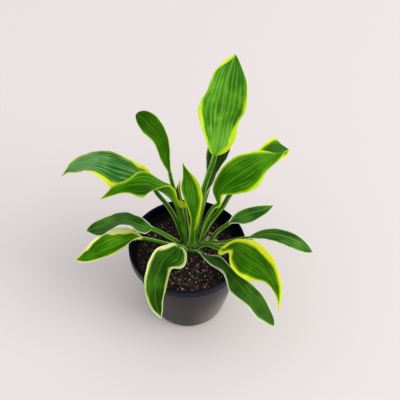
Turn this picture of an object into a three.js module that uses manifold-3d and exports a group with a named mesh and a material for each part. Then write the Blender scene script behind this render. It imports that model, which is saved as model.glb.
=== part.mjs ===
// A potted variegated hosta: a black moulded pot, its soil, the crown of the plant and sixteen leaves.
// Millimetres, +Z up, origin at the centre of the pot's base. Seen from the front, +X is to the right.

import * as THREE from 'three';
import { mergeVertices } from 'three/addons/utils/BufferGeometryUtils.js';
import Module from 'manifold-3d';

// Driving dimensions
const POT = {
  height: 122,
  rimRadius: 75,
  baseRadius: 48,
  bodyTopRadius: 70.5,
  bodySwell: 0.85,
  cornerRadius: 5,
  cornerSteps: 4,
  wall: 1.6,
  floor: 2.4,
  lipDepth: 13,
  lipCrest: 1.8,
  lipSteps: 4,
  sides: 48,
};
const DRAIN = { count: 6, radius: 4, ringRadius: 31, sides: 12 };
const SOIL = {
  fillHeight: 100,
  moundHeight: 6.5,
  moundSpread: 30,
  ripple: 1.1,
  ringShares: [0.15, 0.35, 0.55, 0.72, 0.88, 1],
};
const CROWN = { x: 4, y: 13, radius: 16.5, base: 97, top: 111, sides: 24, steps: 4 };
// Clearance between pieces that touch, and round a stalk in its socket
const GAP = 0.3;
const SOCKET_GAP = 0.5;

// A leaf's stalk and blade. Thicknesses are at the midrib and at the margin.
const BLADE = { margin: 0.65, midrib: 0.9, neckMidrib: 2.3, neckMargin: 0.6, ribHalfWidth: 1.7 };
// How far along the blade, as a share, the neck's extra thickness fades, the cup and the wave set in
const FADE = { midrib: 0.3, margin: 0.06, cup: 0.3, wave: 0.15 };
// The stalk's extra width at its foot, the valley angle of its two halves there, how fast the stalk
// thins along the blade, and its half width at the tip
const STALK = { foot: 0.2, footFold: 35, taper: 0.6, tip: 0.35 };
// The wave of the right margin runs this far ahead of the left one, in degrees.
const WAVE_LEAD = 108;
// Rings along the stalk and the blade, steps that measure the midrib's length, and points across
const RINGS = { stalk: 6, blade: 16, measure: 400 };
const ACROSS = [-1, -0.55, -0.13, 0, 0.13, 0.55, 1];

// Each leaf follows its midrib from the foot in the crown to the tip. neck is where the blade starts, as
// a share of the length. turn is the compass heading in degrees, counted from +X, at the foot and the tip.
// left and right are half widths at even steps from the blade's start to its end, before swell, whose
// two exponents round the blade off at its neck and its tip. roll twists the blade at neck, middle and tip,
// fold is the valley angle of each half at the neck and beyond it, over the share given by opening, cup
// bends each half up, and wave is the margin's height, its number of waves and its phase.
const LEAVES = {
  leaf_tall: {
    rib: [[8, 17, 104], [12, 34, 138], [22, 50, 178], [35, 64, 221], [39, 77, 252], [43, 87, 278],
      [48, 101, 305], [57, 118, 329]],
    neck: 0.5, turn: [62, 75], left: [30, 26, 29, 33, 27, 29, 21], right: [37, 32, 25, 28, 28, 30, 22],
    swell: [0.7, 0.7], roll: [-35, -32, -28], fold: [28, 12], opening: 0.14, cup: 8,
    wave: [2.4, 1.5, 12], stalk: 3.2,
  },
  leaf_back_left: {
    rib: [[1, 22.5, 104], [-10, 44, 140], [-20, 64, 168], [-23, 71, 181], [-26, 77, 195], [-30, 85, 210],
      [-37, 94, 222], [-49, 106, 231], [-64, 120, 235]],
    neck: 0.5, turn: [115, 125], left: [18, 14, 10, 14, 13], right: [11, 10, 13, 15, 17],
    swell: [1, 0.55], roll: [25, 28, 15], fold: [42, 15], opening: 0.14, cup: 12,
    wave: [2, 1.5, 64], stalk: 2.3,
  },
  leaf_left_high: {
    rib: [[-5, 19, 104], [-15, 32, 131], [-25, 41, 147], [-40, 50, 165], [-47, 60, 175], [-66, 68, 185],
      [-94, 74, 191], [-117, 79, 189], [-140, 82, 179], [-165, 79, 163]],
    neck: 0.42, turn: [150, 172], left: [34, 38, 37, 28, 24, 19, 13], right: [28, 14, 12, 17, 25, 22, 15],
    swell: [0.65, 0.8], roll: [55, 5, -14], fold: [28, 12], opening: 0.14, cup: 0,
    wave: [3.8, 2, 76], stalk: 2.5,
  },
  leaf_left_mid: {
    rib: [[-2.5, 12.5, 104], [-8, 24, 135], [-13, 31, 157], [-20, 35, 171], [-34, 39, 181], [-53, 42, 187],
      [-74, 38, 189], [-108, 29, 174]],
    neck: 0.34, turn: [150, 185], left: [5, 10, 29, 26, 15, 11, 7], right: [16, 22, 19, 19, 8, 19, 22],
    swell: [0.75, 1.3], roll: [-80, 2, 64], fold: [75, 12], opening: 0.25, cup: -5,
    wave: [3.8, 1.5, -20], stalk: 2.8,
  },
  leaf_center: {
    rib: [[4, 9, 104], [7, 20, 132], [10, 26, 150], [10, 38, 169], [6, 52, 184], [-6, 69, 198]],
    neck: 0.2, turn: [75, 115], left: [14, 11, 15, 20, 18], right: [12, 8, 10, 10, 8],
    swell: [1.3, 1.2], roll: [-26, 11, 55], fold: [28, 25], opening: 0.3, cup: 8,
    wave: [3.8, 1, -10], stalk: 4,
  },
  leaf_young: {
    rib: [[1.5, 16, 104], [-1, 28, 132], [-5, 39, 153], [-8, 42, 159], [-10, 47, 171], [-9, 52, 185]],
    neck: 0.55, turn: [95, 105], left: [9, 8, 7, 7, 6], right: [8, 7, 7, 6, 6],
    swell: [0.6, 1], roll: [20, 70, 85], fold: [55, 30], opening: 0.3, cup: 10,
    wave: [1, 1, 0], stalk: 1.7,
  },
  leaf_back_dark: {
    rib: [[11, 24, 104], [17, 41, 132], [26, 58, 161], [34, 75, 177], [40, 96, 195], [44, 119, 211]],
    neck: 0.42, turn: [62, 80], left: [18, 16, 14, 14, 13], right: [12, 12, 17, 17, 18],
    swell: [0.9, 0.65], roll: [40, 20, -28], fold: [50, 12], opening: 0.14, cup: 12,
    wave: [3, 1.5, 100], stalk: 2.3,
  },
  leaf_right_high: {
    rib: [[15, 17.5, 104], [24, 28, 135], [34, 34, 153], [40, 34, 159], [40, 42, 173], [56, 50, 187],
      [75, 59, 195], [94, 71, 201], [112, 82, 200], [130, 95, 195]],
    neck: 0.3, turn: [35, 35], left: [4, 13, 20, 25, 19, 13, 7], right: [4, 10, 20, 26, 22, 23, 22],
    swell: [0.7, 1.2], roll: [26, -45, 30], fold: [28, 12], opening: 0.2, cup: -10,
    wave: [3.8, 1.5, 146], stalk: 3.3,
  },
  leaf_right_back: {
    rib: [[18, 25, 103], [30, 32, 126], [44, 42, 142], [54, 52, 156], [68, 64, 170], [90, 80, 183],
      [113, 97, 188], [132, 108, 183]],
    neck: 0.45, turn: [38, 40], left: [11, 13, 15, 18, 22], right: [18, 15, 12, 13, 15],
    swell: [1.2, 0.6], roll: [7, -42, 17], fold: [42, 12], opening: 0.14, cup: 8,
    wave: [3.6, 1.5, 16], stalk: 3,
  },
  leaf_right_small: {
    rib: [[26, 16, 97], [38, 23, 116], [50, 26, 127], [65, 31, 137], [83, 35, 141], [97, 40, 141],
      [112, 50, 139]],
    neck: 0.4, turn: [25, 25], left: [11, 9, 8, 8, 8], right: [15, 16, 13, 11, 12],
    swell: [1.1, 1.15], roll: [-9, -20, 5], fold: [38, 12], opening: 0.14, cup: 9,
    wave: [1, 1.5, 24], stalk: 2.3,
  },
  leaf_right_low: {
    rib: [[15.5, 10, 104], [26, 6, 116], [44, -1, 124], [66, -4, 136], [78, -6, 141], [97, -5, 147],
      [118, -5, 145], [139, -6, 135], [159, -10, 117]],
    neck: 0.45, turn: [-12, -3], left: [12, 9, 7, 7, 10], right: [12, 12, 13, 16, 20],
    swell: [0.75, 0.85], roll: [7, -31, -35], fold: [42, 15], opening: 0.14, cup: 5,
    wave: [2, 1.5, 154], stalk: 2.5,
  },
  leaf_front_right: {
    rib: [[11.5, 4.5, 104], [24, -4, 125], [43, -20, 137], [56, -28, 148], [70, -44, 151], [88, -56, 147],
      [101, -64, 135], [110, -75, 117], [112, -85, 97]],
    neck: 0.28, turn: [-35, -50], left: [5, 15, 24, 24, 19, 22, 17], right: [24, 8, 21, 24, 13, 8, 5],
    swell: [0.55, 1.3], roll: [-24, -30, -34], fold: [28, 10], opening: 0.14, cup: 6,
    wave: [3.8, 1.5, 200], stalk: 2.6,
  },
  leaf_front_low: {
    rib: [[5, 1, 104], [13, -6, 115], [24, -20, 121], [39, -34, 127], [52, -52, 129], [68, -67, 121],
      [84, -80, 107], [97, -87, 89], [108, -91, 71]],
    neck: 0.12, turn: [-50, -35], left: [3, 8, 7, 10, 15, 17, 23], right: [12, 14, 6, 16, 12, 16, 20],
    swell: [0.7, 0.85], roll: [26, -37, -30], fold: [28, 10], opening: 0.25, cup: -8,
    wave: [3.8, 1.5, -70], stalk: 2.5,
  },
  leaf_front_left: {
    rib: [[-1, 3, 104], [-7, -4, 121], [-15, -18, 133], [-30, -43, 141], [-36, -64, 133],
      [-38, -79, 113], [-32, -89, 87]],
    neck: 0.22, turn: [-120, -90], left: [28, 29, 15, 13, 17, 21, 27], right: [19, 13, 18, 18, 17, 18, 19],
    swell: [0.55, 1.05], roll: [23, 33, -8], fold: [50, 8], opening: 0.14, cup: 3,
    wave: [3.6, 1.5, 187], stalk: 2.4,
  },
  leaf_left_low_back: {
    rib: [[-9.5, 13, 104], [-17, 10, 116], [-33, 10, 131], [-45, 11, 139], [-57, 10, 145], [-78, 13, 153],
      [-99, 10, 149], [-128, 8, 137]],
    neck: 0.36, turn: [180, 182], left: [31, 26, 23, 23, 13], right: [20, 16, 18, 12, 17],
    swell: [0.95, 0.9], roll: [34, -21, 55], fold: [28, 12], opening: 0.14, cup: 0,
    wave: [1.6, 1.5, 272], stalk: 2.3,
  },
  leaf_left_low_front: {
    rib: [[-7, 6, 104], [-18, 4, 114], [-37, 3, 123], [-48, 3, 127], [-62, 2, 131], [-82, -8, 132],
      [-103, -15, 128], [-122, -19, 120], [-143, -20, 113]],
    neck: 0.38, turn: [178, 195], left: [8, 9, 10, 11, 17], right: [25, 24, 22, 19, 17],
    swell: [0.9, 1.1], roll: [-50, 44, 20], fold: [60, 12], opening: 0.14, cup: 5,
    wave: [3.8, 1.5, 300], stalk: 2.3,
  },
};

const FINISHES = {
  pot: { color: 0x1d2026, roughness: 0.45, metalness: 0 },
  soil: { color: 0x33261f, roughness: 0.95, metalness: 0 },
  crown: { color: 0x6f9440, roughness: 0.6, metalness: 0 },
  innerLeaf: { color: 0x4f8f2a, roughness: 0.45, metalness: 0 },
  outerLeaf: { color: 0x35702a, roughness: 0.45, metalness: 0 },
};
const OUTER_LEAVES = ['leaf_left_low_back', 'leaf_left_low_front', 'leaf_right_low', 'leaf_right_small',
  'leaf_front_low', 'leaf_back_dark', 'leaf_back_left', 'leaf_right_back'];

const wasm = await Module();
wasm.setup();

const radians = THREE.MathUtils.degToRad;
const share = (value, low, high) => THREE.MathUtils.clamp((value - low) / (high - low), 0, 1);

// A closed geometry as a solid: seams and poles are merged, and faces with no area are left out.
function toSolid(geometry) {
  const bare = geometry.clone();
  bare.deleteAttribute('normal');
  bare.deleteAttribute('uv');
  const merged = mergeVertices(bare, 1e-4);
  const corners = [];
  for (let i = 0; i < merged.index.count; i += 3) {
    const [a, b, c] = [merged.index.getX(i), merged.index.getX(i + 1), merged.index.getX(i + 2)];
    if (a !== b && b !== c && c !== a) corners.push(a, b, c);
  }
  return new wasm.Manifold(new wasm.Mesh({
    numProp: 3,
    vertProperties: new Float32Array(merged.attributes.position.array),
    triVerts: new Uint32Array(corners),
  }));
}

// The largest body of a solid, as a geometry.
function toGeometry(solid) {
  const bodies = solid.decompose().sort((a, b) => b.volume() - a.volume());
  const mesh = bodies[0].getMesh();
  const geometry = new THREE.BufferGeometry();
  geometry.setAttribute('position', new THREE.BufferAttribute(new Float32Array(mesh.vertProperties), 3));
  geometry.setIndex(new THREE.BufferAttribute(new Uint32Array(mesh.triVerts), 1));
  geometry.computeVertexNormals();
  return geometry;
}

// Radius of the pot's outside wall at height z: a cone with a slight swell and a round lower corner.
function potRadius(z) {
  const top = POT.height - POT.lipDepth;
  const wall = POT.baseRadius + (POT.bodyTopRadius - POT.baseRadius) * (z / top) ** POT.bodySwell;
  const lift = Math.max(0, 1 - z / POT.cornerRadius);
  return wall - POT.cornerRadius * (1 - Math.sqrt(1 - lift * lift));
}

// The pot is one moulding: floor, tapered wall and a rolled lip.
function potGeometry() {
  const top = POT.height - POT.lipDepth;
  const outside = [];
  for (let i = 0; i < POT.cornerSteps; i += 1) {
    const z = POT.cornerRadius * (1 - Math.cos(Math.PI / 2 * i / POT.cornerSteps));
    outside.push([potRadius(z), z]);
  }
  const middle = (POT.cornerRadius + top) / 2;
  outside.push(...[POT.cornerRadius, middle, top].map((z) => [potRadius(z), z]));
  const lip = [[POT.rimRadius, top]];
  for (let i = 0; i <= POT.lipSteps; i += 1) {
    const angle = Math.PI * i / POT.lipSteps;
    const out = POT.lipCrest * (Math.cos(angle) - 1);
    lip.push([POT.rimRadius + out, POT.height + POT.lipCrest * (Math.sin(angle) - 1)]);
  }
  const inside = [top, middle, POT.cornerRadius].map((z) => [potRadius(z) - POT.wall, z]);
  const corner = [potRadius(POT.floor) - POT.wall, POT.floor];
  const profile = [[0, 0], ...outside, ...lip, ...inside, corner, [0, POT.floor]];
  const points = profile.map(([radius, z]) => new THREE.Vector2(radius, z));
  const shell = toSolid(new THREE.LatheGeometry(points, POT.sides).rotateX(Math.PI / 2));
  const holes = Array.from({ length: DRAIN.count }, (_, i) => {
    const angle = 2 * Math.PI * i / DRAIN.count;
    const [x, y] = [DRAIN.ringRadius * Math.cos(angle), DRAIN.ringRadius * Math.sin(angle)];
    const hole = new THREE.CylinderGeometry(DRAIN.radius, DRAIN.radius, 4 * POT.floor, DRAIN.sides);
    return toSolid(hole.rotateX(Math.PI / 2).translate(x, y, 0));
  });
  return toGeometry(holes.reduce((pot, hole) => pot.subtract(hole), shell));
}

// Height of the soil: level at the wall, mounded round the crown, with shallow hollows.
function soilHeight(x, y) {
  const away = Math.hypot(x - CROWN.x, y - CROWN.y);
  const mound = SOIL.moundHeight * Math.exp(-((away / SOIL.moundSpread) ** 2));
  const hollows = Math.sin(x / 9) * Math.cos(y / 7) + 0.6 * Math.sin((x + y) / 5);
  return SOIL.fillHeight + mound + SOIL.ripple * hollows;
}

// The soil fills the pot. Its rings run from the middle of the top, down the wall, to the middle below.
function soilGeometry() {
  const atWall = (z) => potRadius(z) - POT.wall - GAP;
  const edge = atWall(SOIL.fillHeight - 2 * SOIL.ripple);
  const top = SOIL.ringShares.map((part) => ({ radius: part * edge, top: true }));
  const wall = [SOIL.fillHeight / 2, POT.cornerRadius].map((z) => ({ radius: atWall(z), z }));
  const below = [{ radius: atWall(POT.floor), z: POT.floor + GAP }];
  const rings = [...top, ...wall, ...below];
  const points = [];
  const put = (x, y, z) => points.push(x, y, z);
  put(0, 0, soilHeight(0, 0));
  for (const ring of rings) {
    for (let i = 0; i < POT.sides; i += 1) {
      const angle = 2 * Math.PI * i / POT.sides;
      const [x, y] = [ring.radius * Math.cos(angle), ring.radius * Math.sin(angle)];
      put(x, y, ring.top ? soilHeight(x, y) : ring.z);
    }
  }
  put(0, 0, POT.floor + GAP);
  const faces = [];
  const last = points.length / 3 - 1;
  const at = (ring, i) => 1 + ring * POT.sides + (i % POT.sides);
  for (let i = 0; i < POT.sides; i += 1) {
    faces.push(0, at(0, i), at(0, i + 1));
    for (let ring = 0; ring < rings.length - 1; ring += 1) {
      faces.push(at(ring, i), at(ring + 1, i), at(ring + 1, i + 1));
      faces.push(at(ring, i), at(ring + 1, i + 1), at(ring, i + 1));
    }
    faces.push(last, at(rings.length - 1, i + 1), at(rings.length - 1, i));
  }
  return meshOf(points, faces);
}

function meshOf(points, faces) {
  const geometry = new THREE.BufferGeometry();
  geometry.setAttribute('position', new THREE.Float32BufferAttribute(points, 3));
  geometry.setIndex(faces);
  geometry.computeVertexNormals();
  return geometry;
}

// The crown is the low dome that the stalks grow from, half sunk in the soil. grow widens it for its socket.
function crownGeometry(grow = 0) {
  const base = CROWN.base - grow;
  const rise = CROWN.top + grow - base;
  const profile = [new THREE.Vector2(0, base)];
  for (let i = 0; i < CROWN.steps; i += 1) {
    const angle = i / CROWN.steps * Math.PI / 2;
    profile.push(new THREE.Vector2((CROWN.radius + grow) * Math.cos(angle), base + rise * Math.sin(angle)));
  }
  profile.push(new THREE.Vector2(0, base + rise));
  return new THREE.LatheGeometry(profile, CROWN.sides).rotateX(Math.PI / 2).translate(CROWN.x, CROWN.y, 0);
}

// A smooth run through values at even steps of part, from 0 to 1.
function ease(part, values) {
  const steps = values.length - 1;
  const i = Math.min(Math.floor(part * steps), steps - 1);
  const f = part * steps - i;
  const before = i > 0 ? values[i - 1] : 2 * values[0] - values[1];
  const after = i < steps - 1 ? values[i + 2] : 2 * values[steps] - values[steps - 1];
  const [from, to] = [values[i], values[i + 1]];
  const bend = 2 * before - 5 * from + 4 * to - after;
  return from + 0.5 * f * ((to - before) + f * (bend + f * (3 * (from - to) + after - before)));
}

// Three values at 0, 1/2 and 1 of the blade, joined by one parabola.
const through = (part, [a, b, c]) => a * (1 - part) * (1 - 2 * part) + 4 * b * part * (1 - part)
  + c * part * (2 * part - 1);

// Both faces of a leaf's section at share u of its length, as rows of points across it.
function leafSection(leaf, curve, u, grow) {
  const part = share(u, leaf.neck, 1);
  const centre = curve.getPointAt(u);
  const tangent = curve.getTangentAt(u);
  const heading = radians(leaf.turn[0] + (leaf.turn[1] - leaf.turn[0]) * u);
  const side = new THREE.Vector3(Math.sin(heading), -Math.cos(heading), 0);
  side.addScaledVector(tangent, -side.dot(tangent)).normalize();
  const roll = radians(through(part, leaf.roll));
  side.applyAxisAngle(tangent, -roll);
  const up = new THREE.Vector3().crossVectors(side, tangent);

  const [atNeck, atTip] = leaf.swell;
  const widest = atNeck / (atNeck + atTip);
  const outline = (part / widest) ** atNeck * ((1 - part) / (1 - widest)) ** atTip;
  const climb = share(u, 0, leaf.neck);
  const foot = 1 + STALK.foot * (1 - climb);
  const stalk = leaf.stalk * foot * (1 - part) ** STALK.taper + STALK.tip * part;
  const neckFold = STALK.footFold + (leaf.fold[0] - STALK.footFold) * climb;
  const fold = radians(leaf.fold[1] + (neckFold - leaf.fold[1]) * Math.exp(-part / leaf.opening));
  const cup = radians(leaf.cup) * share(part, 0, FADE.cup) || 1e-4;
  const [height, count, phase] = leaf.wave;
  const waving = height * share(part, 0, FADE.wave) * share(part, 1, 1 - FADE.wave);
  const margin = BLADE.margin + BLADE.neckMargin * Math.exp(-part / FADE.margin);
  const midrib = BLADE.midrib + BLADE.neckMidrib * Math.exp(-part / FADE.midrib);

  const rows = { top: [], bottom: [] };
  for (const v of ACROSS) {
    const [out, hand] = [Math.abs(v), Math.sign(v)];
    const half = Math.hypot(ease(part, hand < 0 ? leaf.left : leaf.right) * outline, stalk) + grow;
    const angle = fold + cup * out;
    const across = hand * half * (Math.sin(angle) - Math.sin(fold)) / cup;
    const ahead = hand > 0 ? WAVE_LEAD : 0;
    const crest = out * out * Math.sin(2 * Math.PI * count * part + radians(phase + ahead));
    const lift = half * (Math.cos(fold) - Math.cos(angle)) / cup + waving * crest;
    const normal = up.clone().multiplyScalar(Math.cos(angle * Math.abs(hand)));
    normal.addScaledVector(side, -Math.sin(angle) * hand);
    const thick = margin + (midrib - margin) * Math.exp(-((half * out / BLADE.ribHalfWidth) ** 2));
    const point = centre.clone().addScaledVector(side, across).addScaledVector(up, lift);
    rows.top.push(point.clone().addScaledVector(normal, grow));
    rows.bottom.push(point.addScaledVector(normal, -thick - grow));
  }
  return rows;
}

// One leaf as a closed loft from foot to tip. grow widens it all round, for its socket.
function leafGeometry(leaf, grow = 0) {
  const stops = leaf.rib.map((p) => new THREE.Vector3(...p));
  const curve = new THREE.CatmullRomCurve3(stops, false, 'centripetal');
  curve.arcLengthDivisions = RINGS.measure;
  const stations = [];
  for (let i = 0; i < RINGS.stalk; i += 1) stations.push(leaf.neck * i / RINGS.stalk);
  for (let i = 0; i <= RINGS.blade; i += 1) {
    stations.push(leaf.neck + (1 - leaf.neck) * (1 - Math.cos(Math.PI * i / RINGS.blade)) / 2);
  }
  const points = [];
  const count = ACROSS.length;
  const foot = curve.getTangentAt(0).multiplyScalar(-grow);
  stations.forEach((u, ring) => {
    const rows = leafSection(leaf, curve, Math.min(u, 1), grow);
    const loop = [...rows.top, ...rows.bottom.reverse()];
    loop.forEach((point) => points.push(...(ring === 0 ? point.add(foot) : point).toArray()));
  });

  const faces = [];
  const around = 2 * count;
  const underside = (k) => around - 1 - k;
  for (let ring = 0; ring < stations.length - 1; ring += 1) {
    for (let i = 0; i < around; i += 1) {
      const next = (i + 1) % around;
      const [a, b] = [ring * around + i, ring * around + next];
      const [c, d] = [b + around, a + around];
      // Both faces of the blade are split along the same diagonals, mirrored about the midrib.
      const onTop = i < count - 1;
      const rightHalf = onTop ? ACROSS[i] >= 0 : ACROSS[underside(i)] > 0;
      if (onTop === rightHalf) faces.push(a, b, c, a, c, d);
      else faces.push(a, b, d, b, c, d);
    }
  }
  const tip = (stations.length - 1) * around;
  for (let k = 0; k < count - 1; k += 1) {
    faces.push(k, underside(k), underside(k + 1));
    faces.push(k, underside(k + 1), k + 1);
    faces.push(tip + k, tip + underside(k + 1), tip + underside(k));
    faces.push(tip + k, tip + k + 1, tip + underside(k + 1));
  }
  return meshOf(points, faces);
}

function piece(name, geometry, finish) {
  const mesh = new THREE.Mesh(geometry, new THREE.MeshStandardMaterial(finish));
  mesh.name = name;
  return mesh;
}

// The leaves' feet stand in sockets: most in the crown, the small outlying one in the soil.
const sockets = Object.values(LEAVES).map((leaf) => toSolid(leafGeometry(leaf, SOCKET_GAP)));
const pierced = (solid) => sockets.reduce((rest, socket) => rest.subtract(socket), solid);
const crownSolid = pierced(toSolid(crownGeometry()));
const soilSolid = pierced(toSolid(soilGeometry()).subtract(toSolid(crownGeometry(SOCKET_GAP))));

const plant = new THREE.Group();
plant.add(piece('crown', toGeometry(crownSolid), FINISHES.crown));
for (const [name, leaf] of Object.entries(LEAVES)) {
  const finish = OUTER_LEAVES.includes(name) ? FINISHES.outerLeaf : FINISHES.innerLeaf;
  plant.add(piece(name, leafGeometry(leaf), finish));
}

const pottedHosta = new THREE.Group();
pottedHosta.add(piece('pot', potGeometry(), FINISHES.pot));
pottedHosta.add(piece('soil', toGeometry(soilSolid), FINISHES.soil));
pottedHosta.add(plant);

export default pottedHosta;
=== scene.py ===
"""Looks of a potted variegated hosta: pot, soil, crown, sixteen leaves, floor, light and camera."""

import logging
import math
from dataclasses import dataclass
from enum import Enum

import bpy
import numpy as np
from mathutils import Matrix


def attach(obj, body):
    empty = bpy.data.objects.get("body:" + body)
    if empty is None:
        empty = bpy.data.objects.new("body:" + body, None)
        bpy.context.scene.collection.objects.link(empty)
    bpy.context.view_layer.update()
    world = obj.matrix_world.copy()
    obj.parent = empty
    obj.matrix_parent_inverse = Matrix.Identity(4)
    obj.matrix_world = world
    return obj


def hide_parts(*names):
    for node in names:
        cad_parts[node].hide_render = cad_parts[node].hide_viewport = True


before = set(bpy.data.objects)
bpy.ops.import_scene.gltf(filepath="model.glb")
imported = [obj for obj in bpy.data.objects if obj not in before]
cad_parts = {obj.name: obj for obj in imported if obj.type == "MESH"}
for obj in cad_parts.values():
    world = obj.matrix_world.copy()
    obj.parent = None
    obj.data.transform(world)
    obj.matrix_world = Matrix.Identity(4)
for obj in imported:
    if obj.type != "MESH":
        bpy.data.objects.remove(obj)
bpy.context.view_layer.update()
MM = 0.001
LOG = logging.getLogger("hosta")


def linear(colour: str) -> tuple[float, float, float, float]:
    """Turn an sRGB hex colour into linear light.

    Args:
        colour: six hex digits after a #.

    Returns:
        Red, green, blue and an alpha of 1.
    """
    parts = [int(colour[i:i + 2], 16) / 255 for i in (1, 3, 5)]
    light = [c / 12.92 if c <= 0.04045 else ((c + 0.055) / 1.055) ** 2.4 for c in parts]
    return (*light, 1.0)


class Surface:
    """One material that is being put together, node by node."""

    def __init__(self, name: str) -> None:
        """Start a material that holds only its shader and its output.

        Args:
            name: the real material and how its surface was made.
        """
        self.material = bpy.data.materials.new(name)
        self.material.use_nodes = True
        self.tree = self.material.node_tree

    def feed(self, node: bpy.types.Node, inputs: dict | list) -> None:
        """Link or set a node's inputs.

        Args:
            node: the node.
            inputs: by name or number, an output to link, an sRGB hex colour or a plain value. A list
                feeds the first inputs in order.
        """
        for key, value in inputs.items() if isinstance(inputs, dict) else enumerate(inputs):
            if isinstance(value, bpy.types.NodeSocket):
                self.tree.links.new(value, node.inputs[key])
            else:
                node.inputs[key].default_value = linear(value) if isinstance(value, str) else value

    def add(self, kind: str, inputs: dict | list, output: int | str = 0,
            stops: tuple[tuple[float, str], ...] = (), **settings: str) -> bpy.types.NodeSocket:
        """Add one node with its settings and links.

        Args:
            kind: the node's type name, without its first word ShaderNode.
            inputs: as for feed.
            output: which output is wanted.
            stops: places and sRGB hex colours of a colour ramp, in order.
            settings: the node's own attributes.

        Returns:
            The wanted output.
        """
        node = self.tree.nodes.new(f"ShaderNode{kind}")
        for key, value in settings.items():
            setattr(node, key, value)
        for number, (place, colour) in enumerate(stops):
            band = node.color_ramp.elements
            element = band[number] if number < len(band) else band.new(place)
            element.position = place
            element.color = linear(colour)
        self.feed(node, inputs)
        return node.outputs[output]

    def share(self, *spans: tuple) -> bpy.types.NodeSocket:
        """Follow one or more values smoothly, and multiply what they give.

        Args:
            spans: for each, the value, where it starts and ends to count, and the share that it gives
                there and there, else 0 and 1.

        Returns:
            The product of the shares.
        """
        shares = [self.add("MapRange", [*span], interpolation_type="SMOOTHSTEP") for span in spans]
        result = shares[0]
        for share in shares[1:]:
            result = self.add("Math", [result, share], operation="MULTIPLY")
        return result

    def cover(self, under: bpy.types.NodeSocket | str, over: bpy.types.NodeSocket | str,
              *spans: tuple) -> bpy.types.NodeSocket:
        """Lay one colour over another.

        Args:
            under: the lower colour, an output or an sRGB hex colour.
            over: the upper colour.
            spans: how much of the upper colour shows, as for share.

        Returns:
            The mixed colour.
        """
        return self.add("Mix", {0: self.share(*spans), 6: under, 7: over}, 2, data_type="RGBA")

    def close(self, shader: dict) -> bpy.types.Material:
        """Feed the Principled shader.

        Args:
            shader: outputs and values for the shader's own sockets.

        Returns:
            The finished material.
        """
        self.feed(self.tree.nodes["Principled BSDF"], shader)
        return self.material


def fill_mesh(name: str, points: np.ndarray, quads: np.ndarray, flat: np.ndarray | None = None,
              values: dict[str, np.ndarray] | None = None) -> bpy.types.Object:
    """Put arrays into a new mesh object that sits at the origin.

    Args:
        name: the object's name.
        points: places in metres, one row each.
        quads: faces, as rows of 3 or 4 point numbers.
        flat: True for each face that is shaded flat.
        values: named numbers, one for each point, kept for the material.

    Returns:
        The new object, linked to the scene.
    """
    mesh = bpy.data.meshes.new(name)
    faces, corners = quads.shape
    mesh.vertices.add(len(points))
    mesh.vertices.foreach_set("co", np.ascontiguousarray(points, np.float32).ravel())
    mesh.loops.add(faces * corners)
    mesh.loops.foreach_set("vertex_index", np.ascontiguousarray(quads, np.int32).ravel())
    mesh.polygons.add(faces)
    mesh.polygons.foreach_set("loop_start", np.arange(0, faces * corners, corners, dtype=np.int32))
    mesh.update(calc_edges=True)
    smooth = np.ones(faces, bool) if flat is None else ~flat
    mesh.polygons.foreach_set("use_smooth", smooth)
    for key, row in (values or {}).items():
        layer = mesh.attributes.new(key, "FLOAT", "POINT")
        layer.data.foreach_set("value", np.ascontiguousarray(row, np.float32).ravel())
    mesh.validate()
    thing = bpy.data.objects.new(name, mesh)
    bpy.context.scene.collection.objects.link(thing)
    return thing


def dress(thing: bpy.types.Object, material: bpy.types.Material, slot: str) -> None:
    """Give a piece its finish and the body that it belongs to.

    Args:
        thing: the piece.
        material: its finish.
        slot: the record's material slot; not used.
    """
    thing.data.materials.append(material)
    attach(thing, "root")


def circle(sides: int) -> np.ndarray:
    """Angles at even steps round a circle, in radians."""
    return 2 * np.pi * np.arange(sides) / sides


def closed_skin(rings: int, sides: int) -> np.ndarray:
    """Join rings into one closed skin of triangles that faces out where the rings run out and down.

    Each four-sided cell is split in two. The first point after the rings closes the first ring, and the
    next one closes the last.

    Args:
        rings: how many rings.
        sides: points on each.

    Returns:
        The triangles, as rows of point numbers.
    """
    grid = np.arange(rings * sides).reshape(rings, sides)
    after = np.roll(grid, -1, axis=1)
    quads = np.stack([grid[:-1], grid[1:], after[1:], after[:-1]], axis=-1).reshape(-1, 4)
    return np.concatenate([
        quads[:, [0, 1, 2]], quads[:, [0, 2, 3]],
        np.stack([np.full(sides, grid.size), grid[0], after[0]], axis=1),
        np.stack([np.full(sides, grid.size + 1), after[-1], grid[-1]], axis=1)])


def lattice(cell: np.ndarray, seed: int) -> np.ndarray:
    """Give each whole-number cell a fixed pseudo-random value from 0 to 1.

    The three numbers and the seed are mixed by large primes, and the low 16 bits are kept.

    Args:
        cell: whole numbers, three to a row.
        seed: picks another set of values.

    Returns:
        One value for each row.
    """
    x, y, z = np.moveaxis(cell, -1, 0)
    mixed = x * 73856093 ^ y * 19349663 ^ z * 83492791 ^ seed * 2654435761
    mixed = (mixed ^ (mixed >> 13)) * 1274126177
    return ((mixed ^ (mixed >> 16)) & 0xFFFF) / 65535.0


def value_noise(places: np.ndarray, size: float, seed: int) -> np.ndarray:
    """Smooth noise: lattice values blended by 3t^2 - 2t^3 along each axis, from -1 to 1.

    Args:
        places: points, three numbers each.
        size: length of one lattice cell, in the points' unit.
        seed: picks another pattern.

    Returns:
        One value for each point.
    """
    scaled = places / size
    cell = np.floor(scaled).astype(np.int64)
    t = scaled - cell
    t = t * t * (3 - 2 * t)
    total = np.zeros(places.shape[:-1])
    for corner in range(8):
        step = np.array([corner & 1, corner >> 1 & 1, corner >> 2 & 1])
        weight = np.prod(np.where(step == 1, t, 1 - t), axis=-1)
        total += weight * lattice(cell + step, seed)
    return total * 2 - 1


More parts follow.
